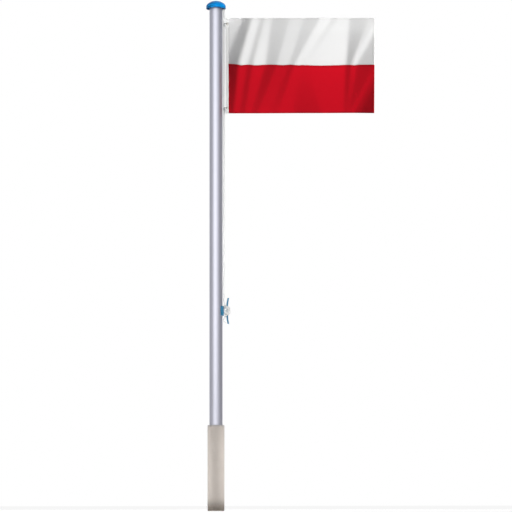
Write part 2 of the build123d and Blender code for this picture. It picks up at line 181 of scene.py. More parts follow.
def satin_aluminium():
    """Anodised tube: fine upright drawing lines, faint clouding, and scuffs near the foot."""
    finish = Finish("satin_aluminium", Metallic=1.0)
    place = finish.place()
    height = finish.parts(place)[2]
    lines = finish.noise(finish.stretched(place, (260.0, 260.0, 0.8)), 1.0, 2.0)
    clouds = finish.noise(finish.stretched(place, (6.0, 6.0, 1.6)), 1.0, 3.0)
    scuffs = finish.noise(finish.stretched(place, (90.0, 90.0, 9.0)), 1.0, 4.0).rise(0.62, 0.74)
    low = 1.0 - height.rise(0.7, 1.9)
    worn = scuffs * (low * 0.5 + 0.15)
    tone = finish.blend(lines * 0.5 + clouds * 0.5, (0.54, 0.545, 0.63), (0.64, 0.645, 0.73))
    colour = finish.blend(worn, tone, (0.5, 0.49, 0.5))
    finish.feed(Base_Color=colour, Roughness=0.4 + lines * 0.07 + clouds * 0.04 + worn * 0.12)
    return finish.bump(lines, 0.25, 0.0002).material


def blue_cap_plastic():
    """Moulded gloss plastic: slight orange peel, and a little dust that lies on the crown."""
    finish = Finish("blue_cap_plastic", Specular_IOR_Level=0.09, Coat_Roughness=0.12)
    place = finish.place()
    upright = finish.parts(finish.node("NewGeometry", output="Normal"))[2]
    peel = finish.noise(place, 420.0, 2.0)
    tint = finish.noise(place, 35.0, 3.0)
    dust = upright.rise(0.75, 1.0) * finish.noise(place, 160.0, 5.0, 0.7).rise(0.4, 0.75)
    body = finish.blend(tint, (0.0004, 0.175, 0.49), (0.0008, 0.22, 0.58))
    finish.feed(Base_Color=finish.blend(dust * 0.08, body, (0.5, 0.55, 0.6)))
    finish.feed(Roughness=0.24 + dust * 0.3 + tint * 0.06, Coat_Weight=0.04 - dust * 0.03)
    return finish.bump(peel, 0.12, 0.0004).material


def pipe_plastic(name, light, dark):
    """Matt pipe plastic: soft mottling, upright handling scratches, soil that has dried at the foot, and
    painted shade that darkens its lowest part and its bottom edge.
    """
    finish = Finish(name)
    place = finish.place()
    height = finish.parts(place)[2]
    mottle = finish.noise(place, 14.0, 5.0, 0.6)
    grain = finish.noise(place, 900.0, 2.0)
    scratches = finish.noise(finish.stretched(place, (240.0, 240.0, 12.0)), 1.0, 3.0).rise(0.6, 0.72)
    splashes = finish.noise(place, 60.0, 5.0, 0.65)
    soil = (1.0 - height.rise(0.0, 0.09)) * splashes.rise(0.3, 0.7)
    # Painted shade: the bottom 12 mm are darkened where the pipe meets the floor.
    edge = 1.0 - height.rise(0.0, 0.012)
    base = finish.blend(mottle, dark, light)
    scratched = finish.blend(scratches * 0.22, base, (0.74, 0.72, 0.69))
    # Painted shade: the colour darkens towards the foot over its lowest 0.115 m; soil splashes and the
    # painted edge shade darken it further.
    shaded = finish.blend(1.0 - height.rise(-0.005, 0.115), scratched, (0.2, 0.17, 0.145))
    soiled_and_shaded = finish.blend((soil * 0.55).larger(edge * 0.6), shaded, (0.23, 0.19, 0.155))
    finish.feed(Base_Color=soiled_and_shaded, Roughness=0.5 + mottle * 0.14 + soil * 0.2)
    return finish.bump(grain * 0.5 + scratches * -0.6 + splashes * soil, 0.35, 0.0004).material


def moulded_plastic(name, light, dark, roughness, coat=0.0):
    """Small moulded pieces: fine grain, slight change of tone and polished rubbed patches."""
    finish = Finish(name, IOR=1.5, Coat_Roughness=0.2)
    place = finish.place()
    tone = finish.noise(place, 70.0, 3.0)
    grain = finish.noise(place, 1400.0, 2.0)
    rubbed = finish.noise(place, 130.0, 4.0).rise(0.55, 0.7)
    finish.feed(Base_Color=finish.blend(tone, dark, light))
    finish.feed(Roughness=roughness + tone * 0.1 - rubbed * 0.12, Coat_Weight=coat + rubbed * 0.2)
    return finish.bump(grain, 0.3, 0.0002).material


def turned_metal(name, light, dark, roughness):
    """Small metal fittings: turned marks, tarnish in patches."""
    finish = Finish(name, Metallic=1.0)
    place = finish.place()
    marks = finish.noise(finish.stretched(place, (300.0, 300.0, 2600.0)), 1.0, 2.0)
    tarnish = finish.noise(place, 220.0, 4.0).rise(0.45, 0.75)
    finish.feed(Base_Color=finish.blend(tarnish * 0.7, light, dark))
    finish.feed(Roughness=roughness + marks * 0.12 + tarnish * 0.18)
    return finish.bump(marks, 0.2, 0.0001).material


def flag_cloth(name, light, dark, hem_tone):
    """Woven flag cloth: plain weave, slubs along both threads, faint creases with painted shade in their
    hollows, and hems of their own tone.
    """
    finish = Finish(name, Specular_IOR_Level=0.12)
    place = finish.cloth_place()
    across, down, _ = finish.parts(place)
    thread = 2 * pi / cloth_thread_pitch
    weft = (across * thread).sine()
    warp = (down * thread).sine()
    weave = weft * warp
    slubs = finish.noise(finish.stretched(place, (900.0, 16.0, 1.0)), 1.0, 2.0)
    threads = finish.noise(finish.stretched(place, (16.0, 900.0, 1.0)), 1.0, 2.0)
    creases = finish.noise(place, 26.0, 4.0, 0.6)
    hem = finish.node("Attribute", {"attribute_name": "hem"}, output="Fac")
    # Painted shade: the crease noise also darkens the colour where its bump is low, in the creases' hollows.
    tone = slubs * 0.35 + threads * 0.35 + creases * 0.3 + weave * 0.06
    colour = finish.blend(tone, dark, light)
    finish.feed(Base_Color=finish.blend(hem * 0.5, colour, hem_tone))
    finish.feed(Roughness=0.72 + weave * 0.05 + slubs * 0.1)
    return finish.bump(weave * 0.4 + slubs * 0.3 + creases * 2.2, 0.3, 0.0007).material


def heading_tape():
    """Stout woven tape: ribs across the band, threads along it and slightly greyer patches."""
    finish = Finish("heading_tape", Sheen_Weight=0.1)
    place = finish.place()
    x, _, height = finish.parts(place)
    ribs = (height * (2 * pi / tape_rib_pitch)).sine()
    threads = (x * (2 * pi / cloth_thread_pitch)).sine()
    wear = finish.noise(place, 60.0, 4.0)
    tone = wear * 0.6 + ribs * 0.08
    finish.feed(Base_Color=finish.blend(tone, (0.84, 0.84, 0.83), (0.92, 0.92, 0.91)))
    finish.feed(Roughness=0.78 + ribs * 0.05)
    return finish.bump(ribs * 0.6 + threads * ribs * 0.4 + wear, 0.4, 0.0005).material


def braided_rope(name, light, dark, strands, pitch):
    """Braided cord: two sets of strands that cross, deeper between them, with painted shade in the grooves
    between them.
    """
    finish = Finish(name, Specular_IOR_Level=0.2)
    around, along, _ = finish.parts(finish.cloth_place())
    left = (around * (2 * pi * strands) + along * (2 * pi / pitch)).sine()
    right = (around * (2 * pi * strands) - along * (2 * pi / pitch)).sine()
    braid = left.larger(right)
    fibres = finish.noise(finish.joined(around * 60.0, along * 900.0), 1.0, 2.0)
    dirt = finish.noise(finish.joined(around * 2.0, along * 30.0), 1.0, 3.0)
    # Painted shade: the grooves between the strands are darkened.
    groove_shade_mask = 1.0 - braid.rise(-0.2, 0.7)
    colour = finish.blend(dirt * 0.5 + fibres * 0.4, light, dark)
    shade = tuple(0.72 * part for part in dark)
    finish.feed(Base_Color=finish.blend(groove_shade_mask * 0.7, colour, shade), Roughness=0.7 + fibres * 0.15)
    return finish.bump(braid + fibres * 0.3, 0.8, 0.0006).material


# Shapes as grids of points


def grid_faces(rows, columns, ring=False):
    """Quads between neighbouring points of a grid, row after row; a ring's last column meets its first."""
    row = np.arange(rows - 1)[:, None] * columns
    column = np.arange(columns if ring else columns - 1)[None, :]
    beside = (column + 1) % columns
    below = row + columns
    return np.stack([row + column, row + beside, below + beside, below + column], -1).reshape(-1, 4)


def grid_corners(rows, columns, ring, down, around):
    """Surface coordinates of each quad's four corners, unrolled so that a ring's last quad doesn't wrap."""
    steps = columns if ring else columns - 1
    row, column = np.meshgrid(np.arange(rows - 1), np.arange(steps), indexing="ij")
    corners = [(row, column), (row, column + 1), (row + 1, column + 1), (row + 1, column)]
    return np.stack([np.stack([around[c], down[r]], -1) for r, c in corners], 2).reshape(-1, 2)


def close_seams(mesh):
    """Merges points that lie on each other, so that seams close and each pole becomes one point."""
    work = bmesh.new()
    work.from_mesh(mesh)
    bmesh.ops.remove_doubles(work, verts=work.verts, dist=1e-6)
    work.to_mesh(mesh)
    work.free()


def put_mesh(name, shape, material, body, replaced=(), weld=True):
    """A mesh of a shape as a smooth piece that rides on a body, with its finish and, if any, its UV map.

    A shape is its points, its faces and the surface coordinates of its faces' corners, or None for these.
    """
    points, faces, surface = shape
    mesh = bpy.data.meshes.new(name)
    mesh.from_pydata(np.asarray(points).reshape(-1, 3).tolist(), [], [list(face) for face in faces])
    mesh.update()
    mesh.polygons.foreach_set("use_smooth", np.ones(len(mesh.polygons), bool))
    if surface is not None:
        layer = mesh.uv_layers.new(name="surface")
        layer.data.foreach_set("uv", np.asarray(surface, np.float32).ravel())
    if weld:
        close_seams(mesh)
    mesh.materials.append(material)
    piece = bpy.data.objects.new(name, mesh)
    bpy.context.scene.collection.objects.link(piece)
    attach(piece, body)
    if replaced:
        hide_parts(*replaced)
    return piece


def closed_sheet(front, back, quads):
    """Front and back sheets joined by a wall at every edge that only one quad has, so holes get walls too."""
    count = len(front)
    edges = np.concatenate([quads[:, [k, (k + 1) % 4]] for k in range(4)])
    open_edges = edges[~np.isin(edges[:, 0] * count + edges[:, 1], edges[:, 1] * count + edges[:, 0])]
    first, second = open_edges.T
    walls = np.stack([second, first, first + count, second + count], -1)
    faces = np.concatenate([quads, quads[:, ::-1] + count, walls])
    return np.concatenate([front, back]), faces


def unit(vectors):
    """Vectors of length 1 in the same directions."""
    return vectors / np.linalg.norm(vectors, axis=-1, keepdims=True)


def walked(line):
    """Distance walked along a line of points, from 0 at its first one."""
    return np.concatenate([[0.0], np.cumsum(np.linalg.norm(np.diff(line, axis=0), axis=-1))])


def route_points(name, controls, steps):
    """Points along a smooth line: a NURBS spline of order 3 with the route's points as its control points."""
    curve = bpy.data.curves.new(name, "CURVE")
    curve.dimensions = "3D"
    spline = curve.splines.new("NURBS")
    spline.points.add(len(controls) - 1)
    spline.points.foreach_set("co", np.insert(np.asarray(controls, float), 3, 1.0, axis=1).ravel())
    spline.order_u = 3
    spline.use_endpoint_u = True
    spline.resolution_u = steps
    holder = bpy.data.objects.new(name, curve)
    line = bpy.data.meshes.new_from_object(holder)
    points = np.empty(3 * len(line.vertices))
    line.vertices.foreach_get("co", points)
    bpy.data.objects.remove(holder)
    bpy.data.curves.remove(curve)
    bpy.data.meshes.remove(line)
    return points.reshape(-1, 3)


def tube(line, radius, sides, reference):
    """Round tube along a line, with domed ends, as points, faces and surface coordinates.

    Each ring is its centre plus radius times (cosine a * across + sine a * up): across is the reference
    direction less its part along the line, and up is square to both. The domes are rings whose radius
    falls with the cosine of an angle while they move out by its sine.
    """
    tangent = unit(np.gradient(line, axis=0))
    reference = np.broadcast_to(reference, line.shape)
    across = unit(reference - (reference * tangent).sum(-1, keepdims=True) * tangent)
    up = np.cross(tangent, across)
    radius = np.broadcast_to(radius, len(line))
    dome = np.radians([90.0, 60.0, 30.0])
    first = line[0] - tangent[0] * (radius[0] * np.sin(dome))[:, None]
    last = line[-1] + tangent[-1] * (radius[-1] * np.sin(dome[::-1]))[:, None]
    centres = np.concatenate([first, line, last])
    radii = np.concatenate([radius[0] * np.cos(dome), radius, radius[-1] * np.cos(dome[::-1])])
    across, up = (np.pad(part, ((len(dome), len(dome)), (0, 0)), "edge") for part in (across, up))
    angle = 2 * pi * np.arange(sides)[:, None] / sides
    rings = np.cos(angle) * across[:, None] + np.sin(angle) * up[:, None]
    points = centres[:, None] + radii[:, None, None] * rings
    surface = grid_corners(len(centres), sides, True, walked(centres), np.arange(sides + 1) / sides)
    return points.reshape(-1, 3), grid_faces(len(centres), sides, True), surface


def spun(profile, sides, centre, axis, start):
    """Profile of radii and heights turned round an axis, as points, faces and surface coordinates.

    Each point is the centre plus height * axis plus radius * (cosine a * start + sine a * side). The
    profile runs anticlockwise, up its outer wall and down its inner one, so that faces point outwards.
    """
    radius, height = np.asarray(profile, float).T[:, :, None, None]
    angle = 2 * pi * np.arange(sides)[:, None] / sides
    ring = np.cos(angle) * start + np.sin(angle) * np.cross(axis, start)
    points = centre + height * np.asarray(axis) + radius * ring
    surface = grid_corners(len(profile), sides, True, walked(profile), np.arange(sides + 1) / sides)
    return points.reshape(-1, 3), grid_faces(len(profile), sides, True), surface


def together(shapes):
    """Several shapes as one set of points, faces and surface coordinates."""
    points, quads, surfaces = zip(*shapes)
    starts = np.cumsum([0] + [len(part) for part in points])
    faces = [part + start for part, start in zip(quads, starts)]
    return np.concatenate(points), np.concatenate(faces), np.concatenate(surfaces)


# Flag cloth

# Each crease of the cloth: how far from the hoist it lies at the flag's top, seam and bottom, in
# millimetres, and how steeply the cloth past it comes forwards at those three levels, in hundredths.
creases = [
    (0, 0, 0, 10, 8, 10),
    (105, -22, -15, 38, 44, 46),
    (179, 73, 40, -26, -31, -8),
    (240, 145, 79, 10, 13, 26),
    (280, 182, 125, -13, -31, -4),
    (330, 283, 175, 10, 12, 20),
    (468, 368, 221, -5, -15, -8),
    (576, 464, 314, 8, 9, 2),
    (700, 503, 376, -24, -30, -13),
    (796, 549, 499, 0, -26, 9),
    (839, 599, 715, -18, -29, -6),
    (927, 904, 885, 9, 33, 13),
    (1080, 938, 912, -3, -22, -2),
    (1105, 939, 916, 7, -22, -2),
    (1135, 941, 920, -24, -28, 10),
    (1175, 985, 925, 16, 16, 20),
    (1270, 1124, 928, 0, -8, -8),
    (1300, 1155, 966, 0, 10, 30),
    (1340, 1190, 1010, 0, 20, 54),
]
crease_softness = 0.008
# How far the seam rises above its straight line at each distance from the hoist, both in millimetres
# and measured in the photo, with straight stretches between the points
seam_rise = [
    (0, 17), (40, 10), (70, 4), (101, -2), (132, 3), (163, 4), (194, -1), (224, 0), (255, 4), (317, 5),
    (348, 3), (409, -1), (440, 0), (471, 3), (532, -3), (563, 1), (594, 0), (656, 0), (717, 1),
    (779, 4), (840, 8), (902, 12), (933, 10), (964, 7), (994, 11), (1025, 10), (1087, 8), (1120, 6),
]
# How far the fly end moves out at the seam, and how much further out at the top and back in at the bottom
fly_shift = 0.0015
fly_slant = 0.0045
hem_width = 0.012
hem_slope = 0.003
cloth_thickness = 0.0006
hem_thickness = 0.0016
pucker_depth = 0.0004
pucker_length = 0.011
fly_end_depth = -0.004
edge_pull = 0.18


def cloth_depth(x, z):
    """Depth of the cloth off its plane.

    Seen from above, the cloth is a row of straight faces with rounded creases between them: the sum over
    the creases of the change of slope there, times the distance past the crease, which starts softly as
    softness times log(1 + exp(distance / softness)). Crease lines and slopes run straight from the top to
    the seam and on to the bottom. A straight ramp then brings the fly end back to its own depth.
    """
    table = np.array(creases, float)
    upper = np.clip((flag_top - z) / (flag_top - flag_seam), 0, 1)[..., None]
    lower = np.clip((flag_seam - z) / (flag_seam - flag_bottom), 0, 1)[..., None]
    places, slopes = table[:, 0:3] / 1000, table[:, 3:6] / 100
    changes = np.diff(slopes, axis=0, prepend=0)
    place, change = (
        part[:, 0] + (part[:, 1] - part[:, 0]) * upper + (part[:, 2] - part[:, 1]) * lower
        for part in (places, changes)
    )

    def run(distance):
        past = (distance[..., None] - place) / crease_softness
        return (change * crease_softness * np.logaddexp(0, past)).sum(-1)

    start = run(np.zeros_like(x))
    end = run(np.full_like(x, flag_fly))
    share = (x - cloth_start) / flag_fly
    return start - run(x - cloth_start) + (end - start + fly_end_depth) * share


def spaced(start, end, count):
    """Stations along a side of a cloth: even in the field, with close ones where each hem begins."""
    inner = np.linspace(start + hem_width + hem_slope, end - hem_width - hem_slope, count)
    first = start + np.array([0.0, 0.5, 0.8, 1.0]) * hem_width
    last = end - np.array([1.0, 0.8, 0.5, 0.0]) * hem_width
    return np.concatenate([first, inner, last])


def hem_share(x, z, top, bottom):
    """1 on the turned hems along the top, bottom and fly, and 0 in the field, with a short slope between."""
    inside = np.minimum(np.minimum(top - z, z - bottom), cloth_end - x)
    return np.clip((hem_width + hem_slope - inside) / hem_slope, 0, 1)


def cloth_sides(x, z, top, bottom):
    """Front and back points of the cloth: its middle sheet, moved half its thickness along its normal.

    The middle sheet is x, line + depth + pucker, z + seam + pull. Towards the fly, x moves out by shift plus
    slant * height, in proportion to its distance, with height 0 at the seam and 1 at the top. The seam's
    rise fades towards both edges, and pull is edge_pull * depth * |height|. The third value tells how much
    each point belongs to a hem.
    """
    step = 0.0005
    depth = cloth_depth(x, z)
    slope = (cloth_depth(x + step, z) - cloth_depth(x - step, z)) / (2 * step)
    hem = hem_share(x, z, top, bottom)
    reach = (x - cloth_start) / flag_fly
    height = (z - flag_seam) / (flag_top - flag_seam)
    place = x + reach * (fly_shift + fly_slant * height)
    distance, rise = np.array(seam_rise).T / 1000
    seam = np.interp(x - cloth_start, distance, rise) * np.clip(1 - np.abs(height), 0, 1)
    pucker = pucker_depth * hem * np.sin(2 * pi * (x + z) / pucker_length)
    half = (cloth_thickness + (hem_thickness - cloth_thickness) * hem) / 2
    length = np.sqrt(1 + slope**2)
    level = z + seam + depth * edge_pull * np.abs(height)
    middle = np.stack([place, flag_line + depth + pucker, level], -1)
    normal = np.stack([slope / length, -1 / length, np.zeros_like(x)], -1)
    return middle + normal * half[..., None], middle - normal * half[..., None], hem


def cloth_panel(name, top, bottom, material, node, columns=300, rows=84):
    """One panel of the flag as a thin closed sheet of two grids over the fly and the drop."""
    x, z = np.meshgrid(spaced(cloth_start, cloth_end, columns), spaced(bottom, top, rows)[::-1])
    front, back, hem = cloth_sides(x, z, top, bottom)
    quads = grid_faces(*x.shape)[:, ::-1]
    points, faces = closed_sheet(front.reshape(-1, 3), back.reshape(-1, 3), quads)
    along = walked(front[len(front) // 2])
    flat = np.stack([np.broadcast_to(along, x.shape), z], -1).reshape(-1, 2)
    surface = np.concatenate([flat, flat])[faces.ravel()]
    piece = put_mesh(name, (points, faces, surface), material, "flag", [node], weld=False)
    mask = piece.data.attributes.new("hem", "FLOAT", "POINT")
    mask.data.foreach_set("value", np.tile(hem.ravel(), 2).astype(np.float32))
    return piece


white_cloth = flag_cloth("white_flag_cloth", (0.93, 0.93, 0.925), (0.87, 0.87, 0.865), (0.85, 0.85, 0.84))
red_cloth = flag_cloth("red_flag_cloth", (0.66, 0.005, 0.017), (0.57, 0.004, 0.014), (0.45, 0.004, 0.011))

white_panel = cloth_panel(
    "flag_white_cloth", flag_top, white_low[2], white_cloth, "flag_white_panel"
)
red_panel = cloth_panel("flag_red_cloth", red_high[2], flag_bottom, red_cloth, "flag_red_panel")
stitch_pitch = 0.008
stitch_half = 0.0025
thread_radius = 0.0003
thread_lift = 0.0002
thread_sides = 6
hem_inset = 0.0098
seam_inset = 0.004
tape_inset = 0.0035
fly_seam = cloth_end - hem_inset
tape_seam = cloth_start + tape_inset


def row_of_stitches(first, last):
    """Centres and directions, both along the fly and up the drop, of the stitches in one straight row."""
    first, last = np.array(first), np.array(last)
    count = int(np.linalg.norm(last - first) / stitch_pitch)
    share = (np.arange(count)[:, None] + 0.5) / count
    way = np.broadcast_to(unit(last - first), (count, 2))
    return np.concatenate([first + (last - first) * share, way], -1)


def stitching(name, top, bottom, high, low, material):
    """Threads on both faces of a panel, each a thin tube that dives into the cloth at both ends.

    Four rows go round the panel: at the heights high and low, along the fly's hem and along the heading.
    Along a thread, from -1 to 1, the lift off the cloth is lift * (1 - u^4) less a thread's radius at the
    ends, and its radius falls as the fourth root of 1 - u^4. All threads are made at once as one array.
    """
    corners = [(tape_seam, high), (fly_seam, high), (fly_seam, low), (tape_seam, low)]
    stitch = np.concatenate([row_of_stitches(corners[k], corners[(k + 1) % 4]) for k in range(4)])
    u = np.array([-1.0, -0.85, 0.0, 0.85, 1.0])
    place = stitch[:, None, :2] + stitch[:, None, 2:] * (stitch_half * u)[:, None]
    front, back, _ = cloth_sides(place[..., 0], place[..., 1], top, bottom)
    outward = unit(front - back)
    lift = thread_lift * (1 - u**4) - thread_radius * u**4
    lines = np.concatenate([front + outward * lift[:, None], back - outward * lift[:, None]])
    outward = np.concatenate([outward, -outward])
    along = unit(np.gradient(lines, axis=1))
    across = unit(np.cross(outward, along))
    angle = 2 * pi * np.arange(thread_sides)[:, None] / thread_sides
    rings = np.cos(angle) * across[:, :, None] + np.sin(angle) * np.cross(along, across)[:, :, None]
    radius = thread_radius * (1 - u**4) ** 0.25
    points = lines[:, :, None] + radius[:, None, None] * rings
    quads = grid_faces(len(u), thread_sides, True)
    faces = (quads + (len(u) * thread_sides * np.arange(len(lines)))[:, None, None]).reshape(-1, 4)
    around = np.arange(thread_sides + 1) / thread_sides
    surface = np.tile(grid_corners(len(u), thread_sides, True, u * stitch_half, around), (len(lines), 1))
    return put_mesh(name, (points, faces, surface), material, "flag")


white_thread = braided_rope("white_thread", (0.9, 0.9, 0.89), (0.8, 0.8, 0.79), 2, 0.0012)
white_threads = stitching(
    "white_stitching", flag_top, flag_seam, flag_top - hem_inset, flag_seam + seam_inset,
    white_thread,
)
red_thread = braided_rope("red_thread", (0.62, 0.006, 0.018), (0.5, 0.004, 0.014), 2, 0.0012)
red_threads = stitching(
    "red_stitching", flag_seam, flag_bottom, flag_seam - seam_inset, flag_bottom + hem_inset,
    red_thread,
)


# Heading tape, grommets and hooks

tape_half = 0.0012
tape_hole = 0.0055
tape_edge = 0.0016
tape_edge_least = 0.06
tape_wave = 0.0004
tape_wave_lengths = (0.31, 0.083)
ring_crowding = 0.8
hook_wire = 0.00155
hook_half = 0.006
hook_sides = 12
eye_sides = 24
bead_sides = 16
grommet_sides = 32
bow_half_straight = 0.0015
bow_from_grommet = 0.0071
bow_opening = 20.0
bow_steps = 15
bead_from_rope = 0.0062
gate_half = 0.0032
gate_pin_place = -0.85 * gate_half
gate_pin_half = 0.0019
gate_pin_radius = 0.0007
gate_pin_sides = 8
hook_to_grommet = 0.0018


def carry_place(level):
    """Point of the carrying fall at a height: it runs straight from the pin to the knee."""
    return carry_top + (carry_knee - carry_top) * (carry_top[2] - level) / (carry_top[2] - carry_knee[2])


grommets = {}
for which in ("upper", "lower"):
    low, high = np.array(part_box("grommet_" + which))
    grommets[which] = (low + high) / 2


def tape_patch(centre, half_height, across, rings=5):
    """Front points and quads of a stretch of tape with a round hole.

    A square path round the stretch is drawn in towards a circle: each ring is the path's point plus a
    share of the way to the circle's point in the same direction from the hole. The share is the
    ring's number over the last one's, to the power of the crowding, so that rings crowd at the hole.
    """
    rise = np.linspace(-half_height, half_height, len(across))
    left, right = np.full(len(across), across[0]), np.full(len(across), across[-1])
    bottom, top = np.full(len(across), -half_height), np.full(len(across), half_height)
    x = np.concatenate([across[:-1], right[:-1], across[:0:-1], left[:0:-1]]) - centre[0]
    z = np.concatenate([bottom[:-1], rise[:-1], top[:0:-1], rise[:0:-1]])
    outline = np.stack([x, z], -1)
    share = (np.arange(rings + 1) / rings)[:, None, None] ** ring_crowding
    points = outline * (1 - share) + unit(outline) * tape_hole * share
    return points.reshape(-1, 2) + centre[[0, 2]], grid_faces(rings + 1, len(outline), True)


def tape_strip(low, high, across, rows):
    """Front points and quads of a plain stretch of tape between two heights."""
    x, z = np.meshgrid(across, np.linspace(low, high, rows))
    return np.stack([x, z], -1).reshape(-1, 2), grid_faces(*x.shape)


def heading_band(columns=13, patch_half=0.011):
    """The tape along the hoist: three plain strips and two patches with holes, with rounded edges.

    Its half thickness falls towards each edge as the square root of 1 minus the square of how far a
    point lies in the edge's last stretch. Its wave is the product of two sines of the height.
    """
    inner = np.linspace(heading_low[0] + tape_edge, heading_high[0] - tape_edge, columns - 4)
    near = tape_edge * np.array([0.0, 0.35])
    across = np.concatenate([heading_low[0] + near, inner, heading_high[0] - near[::-1]])
    holes = [grommets["lower"], grommets["upper"]]
    patch_ends = [hole[2] + side * patch_half for hole in holes for side in (-1, 1)]
    levels = [flag_bottom, *patch_ends, flag_top]
    shapes = [tape_strip(levels[k], levels[k + 1], across, rows) for k, rows in ((0, 4), (2, 90), (4, 4))]
    shapes += [tape_patch(hole, patch_half, across) for hole in holes]
    starts = np.cumsum([0] + [len(points) for points, _ in shapes])
    places = np.concatenate([points for points, _ in shapes])
    quads = np.concatenate([faces + start for (_, faces), start in zip(shapes, starts)])
    microns = np.round(places * 1e6).astype(int)
    _, first, same = np.unique(microns, axis=0, return_index=True, return_inverse=True)
    places, quads = places[first], same.ravel()[quads]
    x, z = places.T
    into = np.clip(1 - np.minimum(x - heading_low[0], heading_high[0] - x) / tape_edge, 0, 1)
    half = tape_half * np.sqrt(np.clip(1 - into**2, tape_edge_least, 1))
    long_wave, short_wave = (np.sin(2 * pi * z / length) for length in tape_wave_lengths)
    wave = tape_wave * long_wave * short_wave
    front, back = (np.stack([x, flag_line + wave + side * half, z], -1) for side in (-1, 1))
    points, faces = closed_sheet(front, back, quads)
    shape = points, faces, None
    piece = put_mesh(
        "heading_band", shape, heading_tape(), "flag", ["flag_heading"], weld=False
    )
    return piece


def grommet(which, finish):
    """A rolled ring: a neck through the tape that curls over into a flange on each face."""
    front = [
        (5.2, 0.0), (5.2, 1.25), (8.6, 1.25), (9.0, 1.6), (8.8, 2.2), (7.9, 2.7), (6.4, 2.8), (5.1, 2.3),
        (4.5, 1.2), (4.5, 0.0),
    ]
    back = [(radius, -height) for radius, height in front[-2::-1]]
    profile = np.array(front + back) / 1000
    shape = spun(profile, grommet_sides, grommets[which], (0.0, -1.0, 0.0), (1.0, 0.0, 0.0))
    put_mesh("eyelet_" + which, shape, finish, "flag", ["grommet_" + which])


def snap_hook(which, finish):
    """A hook in one level plane: an eye round the rope, a bead, a wire bow and its gate on a pin.

    The bow is two half circles round centres a short straight apart, left open where the gate lies. The
    gate's radius is the wire's, with two swellings of the form exp(-(distance / width)^2), for a thumb
    and at the pin.
    """
    level = grommets[which][2] + hook_to_grommet
    rope = carry_place(level)
    bow = np.array([grommets[which][0] - bow_from_grommet, flag_line, level])
    eye = np.array([
        (5.0, -1.8), (5.45, -1.5), (5.6, -0.9), (5.6, 0.9), (5.45, 1.5), (5.0, 1.8), (3.9, 1.8), (3.5, 1.5),
        (3.3, 0.9), (3.3, -0.9), (3.5, -1.5), (3.9, -1.8), (5.0, -1.8),
    ]) / 1000
    bead = np.array([
        (0, -2.4), (1.5, -2.2), (2.2, -1.2), (2.3, 0.0), (2.2, 1.2), (1.5, 2.2), (0, 2.4),
    ]) / 1000
    left = np.radians(np.linspace(270.0 - bow_opening, 90.0, bow_steps))
    right = np.radians(np.linspace(90.0, bow_opening - 90.0, bow_steps))
    turn = np.concatenate([left, right])
    middle = np.repeat([-bow_half_straight, bow_half_straight], bow_steps)
    line = bow + np.stack([middle + hook_half * np.cos(turn), hook_half * np.sin(turn), 0 * turn], -1)
    share = np.linspace(-1, 1, bow_steps)
    gate = bow + np.stack([gate_half * share, np.full(bow_steps, -hook_half), 0 * share], -1)
    at_thumb = 0.3 * np.exp(-(((share - 0.35) / 0.22) ** 2))
    at_pin = 0.2 * np.exp(-(((share + 1) / 0.3) ** 2))
    gate_radius = hook_wire * (0.82 + at_thumb + at_pin)
    pin_height = np.array([-gate_pin_half, 0.0, gate_pin_half])
    pin = bow + np.array([gate_pin_place, -hook_half, 0.0]) + np.outer(pin_height, [0, 0, 1])
    up = (0.0, 0.0, 1.0)
    to_fly = (1.0, 0.0, 0.0)
    hook = together([
        spun(eye, eye_sides, rope, up, to_fly),
        spun(bead, bead_sides, np.array([rope[0] + bead_from_rope, flag_line, level]), to_fly, up),
        tube(line, hook_wire, hook_sides, up),
    ])
    gate_and_pin = together([
        tube(gate, gate_radius, hook_sides, up),
        tube(pin, gate_pin_radius, gate_pin_sides, to_fly),
    ])
    put_mesh("hook_bow_" + which, hook, finish, "flag", ["snap_hook_" + which])
    put_mesh("gate_" + which, gate_and_pin, finish, "flag", ["hook_gate_" + which])


# Points of a hitch round the halyard before and after its turns: angle round the rope in degrees,
# distance from its axis and height above the knot's upper end, in millimetres
knot_rise = [
    (302, 9.5, -40), (297, 10.6, -31), (306, 9.4, -21), (299, 9.0, -11), (298, 8.9, -4), (316, 8.2, -1.2),
]
knot_tail = [(315, 6.2, -12), (326, 8.4, -18), (333, 9.6, -25), (329, 9.0, -34)]
knot_turns = 3
knot_start = -60.0
knot_distance = 5.2
knot_cord_radius = 0.0018
knot_sides = 10
knot_below_hook = 0.0021
line_steps = 3


def hook_knot(which, finish):
    """A hitch under the eye: a tail rises past the turns, winds down round the rope and hangs again.

    The turns are a helix: their height falls evenly with the angle, by one cord for each turn.
    """
    turn = np.arange(0, 360 * knot_turns + 1, 30) + knot_start
    fall = -2 * (1 + (turn - knot_start) / 360) * knot_cord_radius * 1000
    helix = np.stack([turn, np.full(len(turn), knot_distance), fall], -1)
    angle, distance, height = np.concatenate([knot_rise, helix, knot_tail]).T
    angle = np.radians(angle)
    knot_top = carry_place(grommets[which][2] + hook_to_grommet - knot_below_hook)
    controls = np.stack([distance * np.cos(angle), distance * np.sin(angle), height], -1) / 1000
    line = route_points("knot_" + which, controls, line_steps)
    outward = unit(line * (1, 1, 0))
    shape = tube(line + knot_top, knot_cord_radius, knot_sides, outward)
    put_mesh("hitch_knot_" + which, shape, finish, "flag", ["hook_knot_" + which])


# Halyard, its turns on the cleat and its tail, one rope

turn_step = 15.0
neck_half_width = 0.0115
neck_half_height = 0.027
neck_widening = 0.0008
neck_lengthening = 0.004
full_bulge = 0.003
bar_middle = 0.0853
bar_side = 0.0165
bar_front = 0.0102
bar_back = 0.0101
steepness = 2.2
eight_reach = 0.0395
eight_start = 250.0
eight_shift = 0.004
crossing_lift = 0.0038
crossing_gap = 0.002
# The second round of the figure-eights: the angles of its start and of its climb onto the first round,
# and how much further it reaches in front of the bar, behind it, across it and along it
second_start = 580
second_climb = 100
second_front = 0.0082
second_back = 0.0056
second_side = 0.006
second_reach = 0.002
pin_straight = 0.036
knee_share = 0.016


